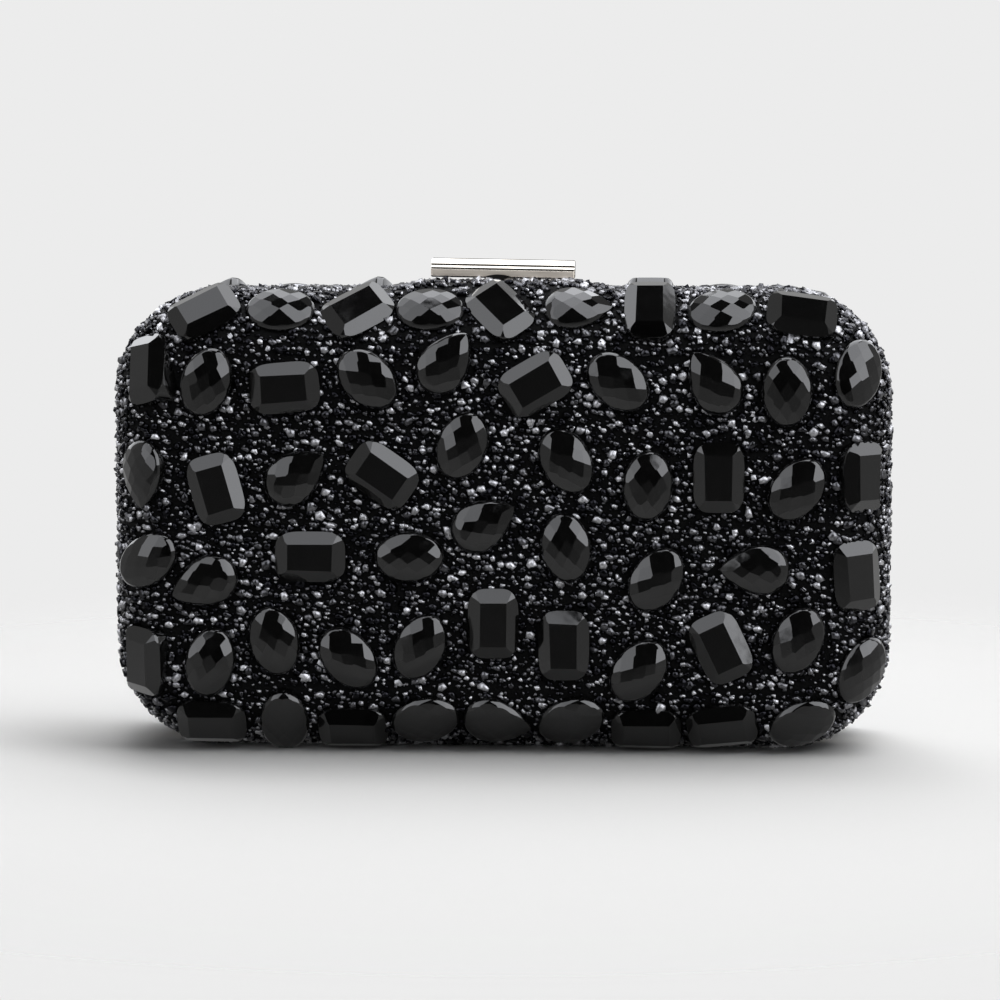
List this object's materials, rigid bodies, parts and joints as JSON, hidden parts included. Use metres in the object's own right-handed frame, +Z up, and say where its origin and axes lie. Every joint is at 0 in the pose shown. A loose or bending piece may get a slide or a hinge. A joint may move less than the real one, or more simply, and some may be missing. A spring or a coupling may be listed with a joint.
{
  "type": "rhinestone box clutch",
  "caption": "Hard box evening bag in two hinged halves, covered in dark crushed crystals and cut stones, with a push-back bar clasp on top.",
  "frame": {"origin": "centre of the bag's footprint, on the surface it stands on", "axes": "+X to the wearer's view right along the bag's length, +Y from the front face to the back face, +Z up"},
  "size_m": [0.199, 0.0556, 0.1253],
  "materials": {
    "crushed_crystal": "crushed hematite-black crystals in dark resin, sparkling",
    "cut_stone": "polished opaque black cut stone",
    "moulded_shell": "black moulded shell",
    "satin_lining": "black satin over card",
    "polished_nickel": "mirror polished nickel",
    "dark_nickel": "dark nickel plate",
    "nickel_steel": "nickel-plated steel",
    "spring_steel": "spring wire"
  },
  "bodies": {
    "back_half": {"back_crystal_cover": "crushed_crystal", "back_shell": "moulded_shell", "back_lining": "satin_lining", "back_frame": "nickel_steel", "left_hinge_back_leaf": "nickel_steel", "right_hinge_back_leaf": "nickel_steel", "left_hinge_pin": "nickel_steel", "right_hinge_pin": "nickel_steel", "clasp_bracket": "nickel_steel", "clasp_pin": "nickel_steel", "clasp_spring": "spring_steel", "left_bracket_rivet": "nickel_steel", "right_bracket_rivet": "nickel_steel"},
    "front_half": {"front_crystal_cover": "crushed_crystal", "front_shell": "moulded_shell", "front_lining": "satin_lining", "front_frame": "nickel_steel", "left_hinge_front_leaf": "nickel_steel", "right_hinge_front_leaf": "nickel_steel", "clasp_keeper": "nickel_steel", "left_keeper_rivet": "nickel_steel", "right_keeper_rivet": "nickel_steel", "front_stone_01": "cut_stone", "front_stone_02": "cut_stone", "front_stone_03": "cut_stone", "front_stone_04": "cut_stone", "front_stone_05": "cut_stone", "front_stone_06": "cut_stone", "front_stone_07": "cut_stone", "front_stone_08": "cut_stone", "front_stone_09": "cut_stone", "front_stone_10": "cut_stone", "front_stone_11": "cut_stone", "front_stone_12": "cut_stone", "front_stone_13": "cut_stone", "front_stone_14": "cut_stone", "front_stone_15": "cut_stone", "front_stone_16": "cut_stone", "front_stone_17": "cut_stone", "front_stone_18": "cut_stone", "front_stone_19": "cut_stone", "front_stone_20": "cut_stone", "front_stone_21": "cut_stone", "front_stone_22": "cut_stone", "front_stone_23": "cut_stone", "front_stone_24": "cut_stone", "front_stone_25": "cut_stone", "front_stone_26": "cut_stone", "front_stone_27": "cut_stone", "front_stone_28": "cut_stone", "front_stone_29": "cut_stone", "front_stone_30": "cut_stone", "front_stone_31": "cut_stone", "front_stone_32": "cut_stone"},
    "clasp": {"clasp_lever": "dark_nickel", "clasp_bar": "polished_nickel"}
  },
  "joints": [
    {"name": "lid_hinge", "type": "hinge", "parent": "back_half", "child": "front_half", "pos_m": [0, 0, 0.0018], "axis": [1, 0, 0], "range_deg": [0, 90]},
    {"name": "clasp_pivot", "type": "hinge", "parent": "back_half", "child": "clasp", "pos_m": [0, 0.004, 0.1074], "axis": [-1, 0, 0], "range_deg": [0, 10], "stiffness_Nm_per_rad": 0.12, "springref_deg": -2.86, "deforming": ["clasp_spring"]}
  ]
}
